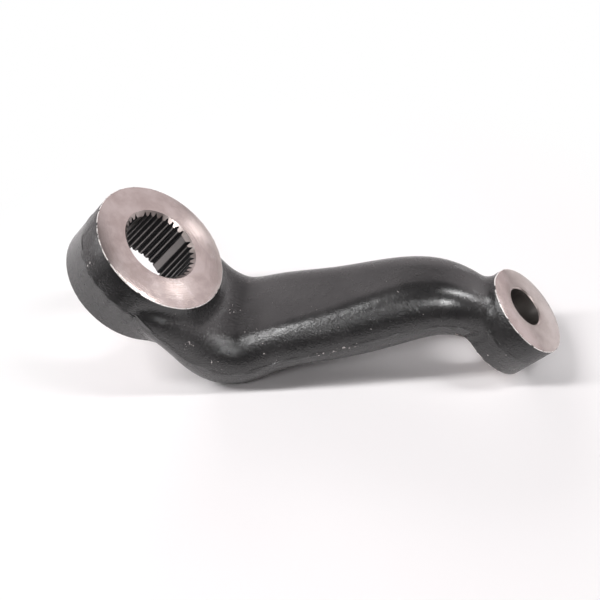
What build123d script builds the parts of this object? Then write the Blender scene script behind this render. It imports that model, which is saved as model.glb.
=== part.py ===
import os

from build123d import *

# Steering arm: one drop forging with a splined hub, a cranked arm and a ball-stud eye.
# It is modelled with both bores upright, then laid down as it comes to rest on a floor:
# +Z up, +X from the hub to the eye, origin at the splined bore's centre on the hub's face.
lean = 40.09  # degrees from the vertical towards +X, the same for both bores

# Forged bosses, measured along the arm and along the bores
reach = 133.5  # between the middles of the two bosses
drop = 75.8  # from the hub's face up to the eye's face
hub_radius = 29.3
hub_length = 26.8
eye_radius = 19.95
eye_length = 20.4
hub_seat_radius = 21.0  # spot faces round the bores, on the back
eye_seat_radius = 12.5

# Blends that run from the arm into each boss, and the stock faced off both bosses
hub_blend = 7.6
eye_blend = 6.0
facing_stock = 10.0
facing_bite = 0.05  # how far the cut under a boss goes into the arm's skin
overcut = 1.0  # how far a cutting shape runs past what it cuts

# Trimmed flash, left proud along the parting line
hub_parting = 13.1  # depth of the parting line below each boss's face
eye_parting = 10.2
flash_height = 1.6
flash_proud = 0.35

# Splined bore: 36 positions, four of them blind, tapered 1 in 16 on the diameter
spline_count = 36
spline_pitch = 360 / spline_count
blind_count = 4
blind_angle = 51.0  # degrees from the arm's direction to the first blind position
spline_major_radius = 16.0
spline_minor_radius = 14.8
groove_depth = spline_major_radius - spline_minor_radius
groove_mouth = 2.1
groove_root = 0.35
groove_overlap = 0.6  # how far the grooves' outlines reach inside the crests
spline_taper = 1 / 16
spline_chamfer = 1.75
spline_back_chamfer = 0.3
hub_bore_shift = (-0.7, 0.8)  # machined off the middle of the forged hub

# Ball-stud bore: plain taper, 1 in 8 on the diameter
stud_radius = 8.75
stud_taper = 1 / 8
stud_chamfer = 0.5
eye_bore_shift = (-1.5, 1.2)

# Centreline of the arm in its side view, from inside the hub to inside the eye
centreline_points = [
    (0, -11.8),
    (20, -14.9),
    (38, -18.2),
    (51.3, -13.7),
    (61, 1.4),
    (77, 24),
    (91, 43.6),
    (101.5, 55.4),
    (116, 61.8),
    (reach, 64.4),
]

# Sections of the arm: share of the centreline, sideways shift, width, height above the
# parting line, depth below it, and breadth of the rounding along the lower edges
arm_sections = [
    (0.00, 0.0, 57.0, 7.25, 7.25, 9.0),
    (0.10, -2.0, 61.5, 8.75, 8.75, 11.0),
    (0.19, -2.8, 57.5, 10.6, 10.8, 9.5),
    (0.27, -3.5, 53.8, 12.25, 12.8, 5.5),
    (0.36, -3.3, 50.4, 12.35, 12.3, 11.5),
    (0.50, -3.0, 45.2, 12.5, 12.5, 12.5),
    (0.80, 0.6, 34.5, 13.5, 13.5, 13.5),
    (0.89, 0.0, 29.0, 11.25, 11.25, 11.25),
    (1.00, 0.0, 22.0, 8.0, 8.0, 8.0),
]

# Outline of one groove, outwards from the crests
groove = [
    (-groove_overlap, -groove_mouth / 2),
    (groove_depth, -groove_root / 2),
    (groove_depth, groove_root / 2),
    (-groove_overlap, groove_mouth / 2),
]

hub_bore_face = Plane.XY
hub_face = Plane(origin=(-hub_bore_shift[0], -hub_bore_shift[1], 0))
eye_face = Plane(origin=hub_face.from_local_coords((reach, 0, drop)))
eye_bore_face = Plane(origin=eye_face.from_local_coords((*eye_bore_shift, 0)))

bosses = [
    (hub_face, hub_radius, hub_length, hub_blend, hub_parting),
    (eye_face, eye_radius, eye_length, eye_blend, eye_parting),
]


def side_view(face):
    """Upright plane through a boss's axis, with the arm's direction to the right."""
    return Plane(origin=face.origin, x_dir=(1, 0, 0), z_dir=(0, -1, 0))


with BuildLine(side_view(hub_face)) as centreline:
    Spline(*centreline_points)


def forged_section(width, above, below, edge):
    """Flat on top and underneath, and rounded from the parting line at both edges."""
    half = width / 2
    with BuildLine() as outline:
        Line((above - half, above), (half - above, above))
        CenterArc((half - above, 0), above, 0, 90)
        EllipticalCenterArc((half - edge, 0), edge, below, start_angle=270, arc_size=90)
        Line((edge - half, -below), (half - edge, -below))
        EllipticalCenterArc((edge - half, 0), edge, below, start_angle=180, arc_size=90)
        CenterArc((above - half, 0), above, 90, 90)
    make_face(outline.edges())


def core_section(width, above, below, edge):
    """The same section, smaller all round by the cut's bite into the skin."""
    forged_section(
        width - 2 * facing_bite, above - facing_bite, below - facing_bite, edge - facing_bite
    )


def flash_section(width, *others):
    """The thin band that trimmed flash leaves."""
    Rectangle(width + 2 * flash_proud, flash_height)


def arm_along_centreline(section):
    """Sweep a changing section down the centreline."""
    with BuildPart() as swept:
        for share, shift, *sizes in arm_sections:
            station = Plane(
                origin=centreline.line @ share + Vector(0, shift, 0),
                x_dir=(0, 1, 0),
                z_dir=centreline.line % share,
            )
            with BuildSketch(station):
                section(*sizes)
        sweep(path=centreline.line, multisection=True)
    return swept.part


def boss_blank(face, radius, length):
    """A forged boss, with stock above its face and below its back."""
    with BuildPart() as blank:
        with BuildSketch(face.offset(facing_stock)):
            Circle(radius)
        extrude(amount=-length - 2 * facing_stock)
    return blank.part


def tapered_plug(face, length, radius, taper, chamfer, back_chamfer, seat_radius):
    """The space of a tapered bore, chamfered at both ends, with a spot face under the back."""
    back_radius = radius + taper / 2 * length
    with BuildPart() as plug:
        with BuildSketch(side_view(face)):
            Polygon(
                (0, overcut),
                (radius + chamfer + overcut, overcut),
                (radius, -chamfer),
                (back_radius, -length + back_chamfer),
                (back_radius + back_chamfer, -length),
                (seat_radius, -length),
                (seat_radius, -length - facing_stock),
                (0, -length - facing_stock),
                align=None,
            )
        revolve(axis=Axis(face.origin, (0, 0, 1)))
    return plug.part


arm = arm_along_centreline(forged_section)
arm_core = arm_along_centreline(core_section)
hub = boss_blank(hub_face, hub_radius, hub_length)
eye = boss_blank(eye_face, eye_radius, eye_length)

with BuildPart() as forging:
    add(arm)
    add(hub)
    fillet(new_edges(arm, hub, combined=forging.part), hub_blend)
    cranked = forging.part
    add(eye)
    fillet(new_edges(cranked, eye, combined=forging.part), eye_blend)

    # Both bosses are faced flat, and under them only the arm's own underside stays
    for face, radius, length, blend, parting in bosses:
        with BuildSketch(face):
            Circle(radius + blend + overcut)
        extrude(amount=facing_stock + overcut, mode=Mode.SUBTRACT)
        with BuildPart(mode=Mode.PRIVATE) as back_stock:
            with BuildSketch(face.offset(-length)):
                Circle(radius + blend + overcut)
            extrude(amount=-facing_stock - overcut)
            add(arm_core, mode=Mode.SUBTRACT)
        add(back_stock.part, mode=Mode.SUBTRACT)

    # Flash round the arm and both bosses
    add(arm_along_centreline(flash_section))
    for face, radius, length, blend, parting in bosses:
        with BuildSketch(face.offset(-parting - flash_height / 2)):
            Circle(radius + flash_proud)
        extrude(amount=flash_height)

    # Splined bore: a plain taper as far as the crests, then the grooves between them
    add(
        tapered_plug(
            hub_bore_face,
            hub_length,
            spline_minor_radius,
            spline_taper,
            spline_chamfer,
            spline_back_chamfer,
            hub_seat_radius,
        ),
        mode=Mode.SUBTRACT,
    )
    for depth in (-overcut, hub_length + overcut):
        scale = 1 + depth * spline_taper / 2 / spline_major_radius
        with BuildSketch(hub_bore_face.offset(-depth)):
            Circle(spline_minor_radius * scale - groove_overlap / 2)
            for blind in range(blind_count):
                with PolarLocations(
                    spline_minor_radius * scale,
                    spline_count // blind_count - 1,
                    start_angle=blind_angle + blind * 360 / blind_count + spline_pitch,
                    angular_range=360 / blind_count - spline_pitch,
                ):
                    Polygon(*[(x * scale, y * scale) for x, y in groove], align=None)
    loft(ruled=True, mode=Mode.SUBTRACT)

    add(
        tapered_plug(
            eye_bore_face,
            eye_length,
            stud_radius,
            -stud_taper,
            stud_chamfer,
            stud_chamfer,
            eye_seat_radius,
        ),
        mode=Mode.SUBTRACT,
    )

with BuildPart() as steering_arm:
    add(forging.part, rotation=(0, lean, 0))

steering_arm.part.label = "steering_arm"
os.makedirs("parts", exist_ok=True)
export_step(steering_arm.part, "parts/steering_arm.step")
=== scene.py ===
import math

import bpy
from mathutils import Euler, Matrix, Vector, noise


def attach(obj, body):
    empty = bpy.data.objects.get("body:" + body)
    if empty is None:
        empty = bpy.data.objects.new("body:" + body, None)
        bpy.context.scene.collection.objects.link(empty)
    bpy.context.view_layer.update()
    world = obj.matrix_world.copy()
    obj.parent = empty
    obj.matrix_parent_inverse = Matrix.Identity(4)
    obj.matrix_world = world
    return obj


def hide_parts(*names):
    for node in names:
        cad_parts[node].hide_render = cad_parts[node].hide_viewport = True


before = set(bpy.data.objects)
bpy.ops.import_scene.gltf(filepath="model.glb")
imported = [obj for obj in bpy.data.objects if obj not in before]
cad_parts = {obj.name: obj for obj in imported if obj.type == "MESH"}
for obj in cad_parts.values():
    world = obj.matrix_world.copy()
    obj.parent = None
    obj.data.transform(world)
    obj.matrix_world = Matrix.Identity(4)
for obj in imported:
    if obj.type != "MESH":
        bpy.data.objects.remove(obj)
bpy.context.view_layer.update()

# The arm lies as it came to rest, so both bores lean towards +X. Places on it are given in
# millimetres along the arm, sideways and up the bores, from the splined bore's face.
lie = {
    "lean": math.radians(40.09),
    "floor": -0.05689,  # metres, straight down
    "parting": [  # the parting line in a side view, from the hub to the eye
        (-40, -13.1), (14, -13.3), (38.7, -18.2), (52, -13.7), (61.7, 1.4), (77.7, 24),
        (91.7, 43.6), (102.2, 55.4), (116.7, 61.8), (126, 65.2), (165, 65.6),
    ],
}
bosses = {
    "hub": {
        "centre": (0.7, -0.8),  # middle of the forged boss
        "radius": 29.3,
        "face": 0,
        "length": 26.8,
        "parting": -13.1,
        "bore": (0, 0),
        "boreReach": 18,  # the bore and its chamfers lie within this radius
        "mouthDepth": 2,  # the chamfer at the bore's mouth ends above this depth
        "faceReach": 45,  # the turned face lies within this radius
    },
    "eye": {
        "centre": (134.2, -0.8),
        "radius": 19.95,
        "face": 75.8,
        "length": 20.4,
        "parting": 65.6,
        "bore": (132.7, 0.4),
        "boreReach": 9.6,
        "mouthDepth": 1,
        "faceReach": 30,
    },
}
upright = Matrix.Rotation(-lie["lean"], 3, "Y")  # world to bore directions


def alongBores(point):
    return upright @ point * 1000


def offAxis(point, centre):
    return math.hypot(point.x - centre[0], point.y - centre[1])


def linked(name, data):
    made = bpy.data.objects.new(name, data)
    bpy.context.scene.collection.objects.link(made)
    return made


# Shader maths: one socket, with the operators that the finishes use
class Wire:
    def __init__(self, finish, socket):
        self.finish = finish
        self.socket = socket

    def maths(self, operation, *others):
        return self.finish.maths(operation, self, *others)

    def __add__(self, other):
        return self.maths("ADD", other)

    def __radd__(self, other):
        return self.maths("ADD", other)

    def __sub__(self, other):
        return self.maths("SUBTRACT", other)

    def __rsub__(self, other):
        return self.finish.maths("SUBTRACT", other, self)

    def __mul__(self, other):
        return self.maths("MULTIPLY", other)

    def __rmul__(self, other):
        return self.maths("MULTIPLY", other)

    def ramp(self, low, high):
        # 0 at low, 1 at high, smooth between them
        return self.finish.node(
            "ShaderNodeMapRange",
            {"interpolation_type": "SMOOTHSTEP"},
            {"Value": self, "From Min": low, "From Max": high},
        )


class Finish:
    # the nodes of a material or of the world
    def __init__(self, holder):
        self.holder = holder
        holder.use_nodes = True
        self.tree = holder.node_tree
        self.tree.nodes.clear()

    def node(self, kind, settings, sockets, out=0):
        made = self.tree.nodes.new(kind)
        for name, value in settings.items():
            setattr(made, name, value)
        for name, value in sockets.items():
            if isinstance(value, Wire):
                self.tree.links.new(value.socket, made.inputs[name])
            else:
                made.inputs[name].default_value = value
        if len(made.outputs):
            return Wire(self, made.outputs[out])

    def maths(self, operation, *values):
        return self.node("ShaderNodeMath", {"operation": operation}, dict(enumerate(values)))

    def vectors(self, operation, *values, out=0):
        return self.node("ShaderNodeVectorMath", {"operation": operation}, dict(enumerate(values)), out)

    def scaled(self, vector, scale):
        return self.node("ShaderNodeVectorMath", {"operation": "SCALE"}, {0: vector, "Scale": scale})

    def aboutY(self, vector, angle):
        # a place or a direction, turned about Y
        return self.node(
            "ShaderNodeMapping", {"vector_type": "POINT"}, {"Vector": vector, "Rotation": (0, angle, 0)}
        )

    def axis(self, vector, name):
        return self.node("ShaderNodeSeparateXYZ", {}, {"Vector": vector}, out=name)

    def place(self):
        return self.node("ShaderNodeTexCoord", {}, {}, out="Object")

    def attribute(self, name):
        return self.node("ShaderNodeAttribute", {"attribute_name": name}, {}, out="Fac")

    def ray(self, kind):
        return self.node("ShaderNodeLightPath", {}, {}, out="Is " + kind + " Ray")

    def mix(self, share, low, high):
        return self.node("ShaderNodeMix", {"data_type": "RGBA"}, {0: share, 6: low, 7: high}, out=2)

    def noise(self, place, scale, detail, rough):
        sockets = {"Vector": place, "Scale": scale, "Detail": detail, "Roughness": rough}
        return self.node("ShaderNodeTexNoise", {}, sockets)

    def near(self, place, centre, reach):
        # 1 around a point given along the arm, sideways and up the bores, 0 beyond the reach
        middle = upright.transposed() @ Vector(centre) / 1000
        gap = self.vectors("DISTANCE", place, tuple(middle), out="Value") * 1000
        return gap.ramp(reach, 0.4 * reach)

    def bump(self, height):
        return self.node("ShaderNodeBump", {}, {"Strength": 1.0, "Distance": 1.0, "Height": height})

    def principled(self, **sockets):
        named = {name.replace("_", " "): value for name, value in sockets.items()}
        return self.node("ShaderNodeBsdfPrincipled", {}, named)

    def surface(self, shader):
        self.node("ShaderNodeOutputMaterial", {}, {"Surface": shader})
        return self.holder


def boreRadius(finish, boss):
    # the place in bore directions, the way there from a bore's axis, and how far that is
    square = finish.aboutY(finish.place(), -lie["lean"])
    along, side = bosses[boss]["bore"]
    offset = finish.vectors("SUBTRACT", square, (along / 1000, side / 1000, 0))
    away = finish.vectors("MULTIPLY", offset, (1, 1, 0))
    return square, away, finish.vectors("LENGTH", away, out="Value")


# Black paint on the forged skin. A pattern is its scale per metre, its detail and its roughness.
paint = {
    "dark": (0.017, 0.0165, 0.0169, 1),
    "light": (0.029, 0.0278, 0.0282, 1),
    "bare": (0.55, 0.50, 0.49, 1),
    "gloss": 0.75,
    "roughness": (0.20, 0.32),
    "tones": (70, 2.0, 0.5),
    "toneRange": (0.3, 0.7),
    "pebbles": (1300, 2.0, 0.6),
    "pebbleDepth": 0.00024,
    "lumps": (300, 3.0, 0.5),
    "lumpDepth": 0.00010,
    "flatTop": (12.8, 10.5),  # mm above the parting line, where the arm is flat and less pebbly
    "flatPebbles": 0.3,
    "glossy": ((98.7, -12.6, 64.9), 15),  # where the skin is smooth: place and reach, mm
    "glossyPebbles": 0.25,
    "flecks": (800, 2.0, 0.5),
    "fleckRange": (0.76, 0.79),
    "chipped": 0.14,  # how many more flecks there are where paint has come off
    "chips": [  # place and reach, mm
        ((-22.2, -19, -9.8), 5),
        ((26.8, -31.3, -11), 4),
        ((41.1, -30.4, -12.8), 3.5),
        ((40.2, -6.3, -6.2), 4.5),
    ],
    "flashChips": [  # the same, on the parting line only
        ((75.5, -25, 23), 17),
        ((43, -30.3, -12), 11),
    ],
    "flashBand": (1.5, 0.7),  # mm from the parting line
}


def paintFinish():
    finish = Finish(bpy.data.materials.new("blackForgingPaint"))
    place = finish.place()
    rise = finish.attribute("rise")
    chips = sum(finish.near(place, *chip) for chip in paint["chips"])
    flashChips = sum(finish.near(place, *chip) for chip in paint["flashChips"])
    chipped = chips + flashChips * rise.maths("ABSOLUTE").ramp(*paint["flashBand"])
    flecks = finish.noise(place, *paint["flecks"]) + chipped * paint["chipped"]
    flecks = flecks.ramp(*paint["fleckRange"])
    tones = finish.noise(place, *paint["tones"]).ramp(*paint["toneRange"])
    lumps = finish.noise(place, *paint["lumps"])
    pebbly = rise.ramp(*paint["flatTop"]) * (1 - paint["flatPebbles"]) + paint["flatPebbles"]
    pebbly = pebbly * (1 - finish.near(place, *paint["glossy"]) * (1 - paint["glossyPebbles"]))
    pebbles = finish.noise(place, *paint["pebbles"]) * pebbly
    height = pebbles * paint["pebbleDepth"] + lumps * paint["lumpDepth"] + finish.attribute("swell")
    smoothest, roughest = paint["roughness"]
    shader = finish.principled(
        Base_Color=finish.mix(flecks, finish.mix(tones, paint["dark"], paint["light"]), paint["bare"]),
        Roughness=lumps * (roughest - smoothest) + smoothest,
        Specular_IOR_Level=paint["gloss"],
        Normal=finish.bump(height),
    )
    return finish.surface(shader)


# Bare turned steel on the faces, and on the chamfers at the bores' mouths
turned = {
    "colour": (0.54, 0.475, 0.455, 1),
    "shade": (0.43, 0.365, 0.345, 1),
    "clouds": (90, 3.0, 0.6),
    "cloudRange": (0.35, 0.65),
    "roughness": 0.15,
    "cloudRoughness": 0.08,
    "marks": 8000,  # turning marks, per metre of radius
    "slope": {"hub": 0.40, "eye": 0.10},
    "outwards": {"hub": 0.06, "eye": 0.0},  # the marks' steeper side
    "wander": (120, 1.0, 0.5),
    "wanderWidth": 0.0004,
    "mouthClouds": (300, 3.0, 0.6),
    "mouthRoughness": 0.35,
    "mouthDepth": 0.00003,
}


def turnedFinish(boss):
    # concentric marks tilt the normal outwards and inwards, so that each lamp draws a fan
    finish = Finish(bpy.data.materials.new(boss + "TurnedFace"))
    square, away, radius = boreRadius(finish, boss)
    wander = finish.noise(square, *turned["wander"]) * turned["wanderWidth"]
    marks = finish.node(
        "ShaderNodeTexNoise",
        {"noise_dimensions": "1D"},
        {"W": (radius + wander) * turned["marks"], "Scale": 1.0, "Detail": 2.0, "Roughness": 0.6},
    )
    outwards = finish.aboutY(finish.vectors("NORMALIZE", away), lie["lean"])
    slope = (marks - 0.5) * turned["slope"][boss] + turned["outwards"][boss]
    tilt = finish.node(
        "ShaderNodeVectorTransform",
        {"vector_type": "VECTOR", "convert_from": "OBJECT", "convert_to": "WORLD"},
        {0: finish.scaled(outwards, slope)},
    )
    facing = finish.node("ShaderNodeNewGeometry", {}, {}, out="Normal")
    clouds = finish.noise(square, *turned["clouds"])
    shader = finish.principled(
        Base_Color=finish.mix(clouds.ramp(*turned["cloudRange"]), turned["shade"], turned["colour"]),
        Metallic=1.0,
        Roughness=clouds * turned["cloudRoughness"] + turned["roughness"],
        Normal=finish.vectors("NORMALIZE", finish.vectors("ADD", facing, tilt)),
    )
    return finish.surface(shader)


def mouthFinish():
    finish = Finish(bpy.data.materials.new("boreMouth"))
    clouds = finish.noise(finish.place(), *turned["mouthClouds"])
    shader = finish.principled(
        Base_Color=finish.mix(clouds.ramp(*turned["cloudRange"]), turned["shade"], turned["colour"]),
        Metallic=1.0,
        Roughness=turned["mouthRoughness"],
        Normal=finish.bump(clouds * turned["mouthDepth"]),
    )
    return finish.surface(shader)


# The burr along the turned faces' rims, bare here and painted there, its bare steel coloured brighter
# than the turned faces as a painted highlight
rim = {
    # near white: the burr's bare steel, brightened into a painted highlight
    "colour": (0.85, 0.80, 0.78, 1),
    "wear": (380, 2.0, 0.6),
    "wearRange": (0.36, 0.46),
    "metallic": 0.4,
    "roughness": 0.4,
}


def burrAndGlintFinish():
    finish = Finish(bpy.data.materials.new("burrAndGlint"))
    wornAndGlinting = finish.noise(finish.place(), *rim["wear"]).ramp(*rim["wearRange"])
    shader = finish.principled(
        Base_Color=finish.mix(wornAndGlinting, paint["light"], rim["colour"]),
        Metallic=wornAndGlinting * rim["metallic"],
        Roughness=rim["roughness"],
    )
    return finish.surface(shader)


# Bare steel in the bores: crests, with painted shade that turns the grooves near black down to their
# roots, and a dark reamed taper
bored = {
    # near black: painted shade in the grooves
    "groove": (0.030, 0.029, 0.030, 1),
    "grooveGloss": 0.3,
    "grooveRoughness": 0.3,  # more than the crests' roughness
    "crest": (0.22, 0.207, 0.202, 1),
    "crestRoughness": 0.3,
    "crestRadius": 0.0148,  # at the hub's face, metres
    "crestDepth": (0.00008, 0.00001),  # outwards from there, where the painted shade in the grooves is full and where it starts
    "taper": 1 / 32,  # of the radius
    "grooves": 36,
    "crestSpan": (-0.78, -0.96),  # cosines, across a groove's turn
    "blinds": 4,
    "blindAngle": math.radians(51),
    "blindRange": (0.91, 0.95),  # cosines, across a quarter turn
    "clouds": (420, 3.0, 0.6),
    "cloudRoughness": 0.1,
    "cloudDepth": 0.00004,
    "stud": (0.30, 0.28, 0.27, 1),
    "studRoughness": 0.38,
    "studClouds": (500, 3.0, 0.6),
}


def serratedFinish():
    finish = Finish(bpy.data.materials.new("serratedBore"))
    square, away, radius = boreRadius(finish, "hub")
    above = radius + finish.axis(square, "Z") * bored["taper"] - bored["crestRadius"]
    turn = finish.axis(square, "Y").maths("ARCTAN2", finish.axis(square, "X")) - bored["blindAngle"]
    crest = (turn * bored["grooves"]).maths("COSINE").ramp(*bored["crestSpan"])
    blind = (turn * bored["blinds"]).maths("COSINE").ramp(*bored["blindRange"])
    # painted shade: the grooves are coloured near black outwards from the crest radius, while the
    # crests and the blind lands keep the steel colour
    groove = 1 - above.ramp(*bored["crestDepth"]) * crest.maths("MAXIMUM", blind)
    clouds = finish.noise(finish.place(), *bored["clouds"])
    rougher = groove * bored["grooveRoughness"] + clouds * bored["cloudRoughness"]
    shader = finish.principled(
        Base_Color=finish.mix(groove, bored["crest"], bored["groove"]),
        Metallic=1 - groove,
        Roughness=rougher + bored["crestRoughness"],
        Specular_IOR_Level=bored["grooveGloss"],
        Normal=finish.bump(clouds * bored["cloudDepth"]),
    )
    return finish.surface(shader)


def studFinish():
    finish = Finish(bpy.data.materials.new("studBore"))
    clouds = finish.noise(finish.place(), *bored["studClouds"])
    shader = finish.principled(
        Base_Color=bored["stud"],
        Metallic=1.0,
        Roughness=bored["studRoughness"],
        Normal=finish.bump(clouds * bored["cloudDepth"]),
    )
    return finish.surface(shader)


# The forging
forging = {
    "merge": 0.000002,  # corners this close become one, metres
    "burrAndGlint": 0.00030,  # width of the burr, metres
    "flash": 0.00038,  # how far the flash's corners are worn back on average, metres
    "flashReach": 1.6,  # mm from the parting line to the corners that are worn
    "flashCorner": 0.5,  # cosine of the angle between the faces at such a corner, at most
    "flashWander": 300,  # per metre
    "bossSkin": 1.2,  # mm round a boss that still follow its own parting line
    "draft": 0.09,  # each half of a boss tapers away from the parting line
    "draftReach": (4, 0.5),  # mm out from a boss's wall, where its draft is nothing and full
    "draftHeight": 16,  # mm above or below the parting line, at most
    "smooth": math.radians(25),
    "level": 0.999,  # cosine of a turned face's lean, at least
    "mouthLean": 0.5,  # the same for the chamfer at a bore's mouth
    "faceDepth": 0.05,  # mm off a turned face, at most
    "boreEnds": 0.1,  # mm that a bore's surface runs past its ends, at most
}


def surfaceKind(face):
    centre = alongBores(face.center)
    up = (upright @ face.normal).z
    for name, boss in bosses.items():
        depth = boss["face"] - centre.z
        onFace = min(abs(depth), abs(depth - boss["length"])) < forging["faceDepth"]
        fromBore = offAxis(centre, boss["bore"])
        inBore = fromBore < boss["boreReach"]
        if inBore and up > forging["mouthLean"] and depth < boss["mouthDepth"]:
            return "mouth"
        if onFace and abs(up) > forging["level"] and fromBore < boss["faceReach"]:
            return name + "Face"
        if inBore and -forging["boreEnds"] < depth < boss["length"] + forging["boreEnds"]:
            return name + "Bore"
    return "skin"


def partingRise(point):
    # millimetres above the parting line
    for boss in bosses.values():
        if offAxis(point, boss["centre"]) < boss["radius"] + forging["bossSkin"]:
            return point.z - boss["parting"]
    nearest = 1000
    for (startX, startZ), (endX, endZ) in zip(lie["parting"], lie["parting"][1:]):
        along = Vector((endX - startX, endZ - startZ))
        gap = Vector((point.x - startX, point.z - startZ))
        share = min(1, max(0, gap.dot(along) / along.length_squared))
        away = (gap - along * share).length
        if away < abs(nearest):
            nearest = math.copysign(away, along.x * gap.y - along.y * gap.x)
    return nearest


def draftSwell(point):
    # how far a boss's wall stands in, by its draft, in metres
    reach, full = forging["draftReach"]
    swell = 0.0
    for boss in bosses.values():
        out = offAxis(point, boss["centre"]) - boss["radius"]
        height = abs(point.z - boss["parting"])
        if -full < out < reach and height < forging["draftHeight"]:
            share = min(1, max(0, (reach - out) / (reach - full)))
            swell -= forging["draft"] * height * share / 1000
    return swell


def wornFlash(mesh):
    # the corners of the trimmed flash are pulled in, here more and there less
    def byParting(corner):
        return abs(partingRise(alongBores(mesh.vertices[corner].co))) < forging["flashReach"]

    sides = {}
    for face in mesh.polygons:
        if face.material_index == 0:
            for edge in face.edge_keys:
                sides.setdefault(edge, []).append(face)
    corners = set()
    for edge, faces in sides.items():
        if len(faces) == 2:
            first, second = faces
            convex = (second.center - first.center).dot(first.normal) < 0
            sharp = first.normal.dot(second.normal) < forging["flashCorner"]
            if convex and sharp and all(byParting(corner) for corner in edge):
                corners.update(edge)
    pulls = {}
    for corner in corners:
        vertex = mesh.vertices[corner]
        wander = noise.noise(vertex.co * forging["flashWander"])
        pulls[corner] = vertex.normal * forging["flash"] * (1 + wander)
    for corner, pull in pulls.items():
        mesh.vertices[corner].co -= pull
    print("flash corners worn back:", len(corners))


def forgedArm():
    # the solid's own shape, merged, so that it shades smoothly and takes a finish on each surface
    piece = linked("forged_arm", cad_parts["steering_arm"].data.copy())
    bpy.ops.object.select_all(action="DESELECT")
    bpy.context.view_layer.objects.active = piece
    piece.select_set(True)
    bpy.ops.object.mode_set(mode="EDIT")
    bpy.ops.mesh.select_all(action="SELECT")
    bpy.ops.mesh.remove_doubles(threshold=forging["merge"])
    bpy.ops.mesh.customdata_custom_splitnormals_clear()
    bpy.ops.mesh.select_mode(type="EDGE")
    bpy.ops.mesh.select_all(action="DESELECT")
    bpy.ops.object.mode_set(mode="OBJECT")

    finishes = {
        "skin": paintFinish(),
        "hubFace": turnedFinish("hub"),
        "eyeFace": turnedFinish("eye"),
        "hubBore": serratedFinish(),
        "eyeBore": studFinish(),
        "burrAndGlint": burrAndGlintFinish(),
        "mouth": mouthFinish(),
    }
    kinds = list(finishes)
    mesh = piece.data
    mesh.materials.clear()
    for material in finishes.values():
        mesh.materials.append(material)
    meeting = {}
    for face in mesh.polygons:
        kind = surfaceKind(face)
        face.material_index = kinds.index(kind)
        for edge in face.edge_keys:
            meeting.setdefault(edge, set()).add(kind)
    wornFlash(mesh)

    # a burr runs where the skin meets a turned face, coloured with a painted highlight
    for edge in mesh.edges:
        edge.select = meeting[edge.key] in ({"skin", "hubFace"}, {"skin", "eyeFace"})
    print("rim edges:", sum(edge.select for edge in mesh.edges))
    bpy.ops.object.mode_set(mode="EDIT")
    bpy.ops.mesh.bevel(
        offset=forging["burrAndGlint"], segments=2, material=kinds.index("burrAndGlint"), clamp_overlap=False
    )
    bpy.ops.object.mode_set(mode="OBJECT")
    for name, measure in (("swell", draftSwell), ("rise", partingRise)):
        values = [measure(alongBores(vertex.co)) for vertex in mesh.vertices]
        mesh.attributes.new(name, "FLOAT", "POINT").data.foreach_set("value", values)
    bpy.ops.object.shade_smooth_by_angle(angle=forging["smooth"])
    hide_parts("steering_arm")
    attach(piece, "root")


forgedArm()
print("forging dressed")

# Floor, light and camera
studio = {
    "floorSize": 8.0,
    "floorColour": (0.97, 0.94, 0.948, 1),
    "floorRoughness": 0.9,
    "floorFront": (-0.17, -0.20),  # beyond it, the floor is coloured dark for glossy rays only, a painted reflection so that the paint and the metal reflect a dark room
    "reflectedDarkFloor": (0.05, 0.05, 0.05, 1),
    "washMiddle": (0.085, -0.01, lie["floor"]),
    "wash": (0.095, 0.22),  # how far from there the floor starts and ends fading to white
    "white": (1, 1, 1, 1),
    "roomColour": (1, 0.925, 0.945, 1),
    "roomBack": 1.0,
    "roomFront": 0.06,
    "roomLit": 0.12,  # share of the white sweep that lights matt surfaces
    "sweepSides": (-0.45, 0.15),  # the sweep's edge, towards the camera
    "sweepTop": (0.85, 0.6),
    "aim": (0.06, 0, -0.01),  # where the lights point
    "lights": [  # name, direction from the aim, distance, size, brightness, surfaces it lights
        ("leftLight", (-0.654, -0.139, 0.743), 1.0, (0.12, 0.60), 31.5, "matt and gloss"),
        ("rightLight", (0.667, 0.05, 0.743), 1.0, (0.10, 0.55), 23.5, "matt and gloss"),
        ("streakLight", (-0.11, -0.63, 0.766), 0.8, (0.45, 0.10), 7.0, "matt and gloss"),
        ("cameraLight", (0.46, -0.58, 0.67), 0.8, (0.08, 0.08), 95.0, "gloss"),
        ("backLight", (-0.377, 0.847, 0.375), 1.0, (0.80, 0.40), 3.9, "matt"),
        ("rightBandLight", (0.770, 0.514, 0.374), 0.9, (0.12, 0.12), 3.4, "gloss"),
        ("backBandLight", (0.443, 0.826, 0.075), 0.95, (0.08, 0.12), 4.0, "gloss"),
    ],
    "cameraPlace": (0.08604, -0.24169, 0.22893),
    "cameraTurn": (43.256, 1.777, 5.249),  # degrees
    "cameraLens": 49.8,
    "cameraSensor": 36,
    "cameraNear": 0.01,
}


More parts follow.
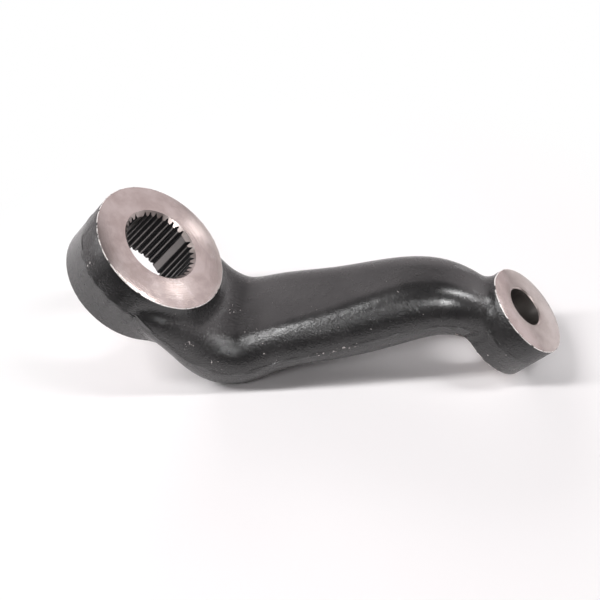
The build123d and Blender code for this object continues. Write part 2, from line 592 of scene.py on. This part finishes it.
def floorPiece():
    bpy.ops.object.select_all(action="DESELECT")
    bpy.ops.mesh.primitive_plane_add(size=studio["floorSize"], location=(0, 0, lie["floor"]))
    bpy.ops.object.transform_apply(location=True)
    floor = bpy.context.active_object
    floor.name = "floor"
    finish = Finish(bpy.data.materials.new("paleFloor"))
    place = finish.place()
    # painted reflection: glossy rays see the floor dark towards the camera
    dark = finish.axis(place, "Y").ramp(*studio["floorFront"]) * finish.ray("Glossy")
    lit = finish.principled(
        Base_Color=finish.mix(dark, studio["floorColour"], studio["reflectedDarkFloor"]),
        Roughness=studio["floorRoughness"],
        Specular_IOR_Level=0.0,
    )
    white = finish.node("ShaderNodeEmission", {}, {"Color": studio["white"], "Strength": 1.0})
    away = finish.vectors("DISTANCE", place, studio["washMiddle"], out="Value")
    washed = away.ramp(*studio["wash"]) * finish.ray("Camera")
    shader = finish.node("ShaderNodeMixShader", {}, {0: washed, 1: lit, 2: white})
    floor.data.materials.append(finish.surface(shader))


def softLight(name, towards, distance, size, brightness, surfaces):
    lamp = bpy.data.lights.new(name, "AREA")
    lamp.shape = "RECTANGLE"
    lamp.size, lamp.size_y = size
    lamp.energy = brightness * math.pi * size[0] * size[1]
    holder = linked(name, lamp)
    towards = Vector(towards).normalized()
    holder.location = Vector(studio["aim"]) + towards * distance
    holder.rotation_euler = towards.to_track_quat("Z", "Y").to_euler()
    holder.visible_diffuse = "matt" in surfaces
    holder.visible_glossy = "gloss" in surfaces


def studioRoom():
    # a white sweep behind the object and a dark room in front, with plain white in the picture
    world = bpy.data.worlds.new("studioRoom")
    finish = Finish(world)
    towards = finish.node("ShaderNodeTexCoord", {}, {}, out="Generated")
    sweep = finish.axis(towards, "Y").ramp(*studio["sweepSides"])
    sweep = sweep * finish.axis(towards, "Z").ramp(*studio["sweepTop"])
    mirrored = finish.ray("Glossy") + finish.ray("Transmission")
    share = mirrored * (1 - studio["roomLit"]) + studio["roomLit"]
    level = sweep * share * (studio["roomBack"] - studio["roomFront"]) + studio["roomFront"]
    room = finish.node("ShaderNodeBackground", {}, {"Color": studio["roomColour"], "Strength": level})
    white = finish.node("ShaderNodeBackground", {}, {"Color": studio["white"], "Strength": 1.0})
    shader = finish.node("ShaderNodeMixShader", {}, {0: finish.ray("Camera"), 1: room, 2: white})
    finish.node("ShaderNodeOutputWorld", {}, {"Surface": shader})
    bpy.context.scene.world = world


def photoCamera():
    lens = bpy.data.cameras.new("photoCamera")
    lens.sensor_width = studio["cameraSensor"]
    lens.lens = studio["cameraLens"]
    lens.clip_start = studio["cameraNear"]
    camera = linked("photoCamera", lens)
    camera.location = studio["cameraPlace"]
    camera.rotation_euler = Euler([math.radians(angle) for angle in studio["cameraTurn"]])
    bpy.context.scene.camera = camera


floorPiece()
for light in studio["lights"]:
    softLight(*light)
studioRoom()
photoCamera()
bpy.context.scene.view_settings.view_transform = "Standard"
print("floor, light and camera placed")
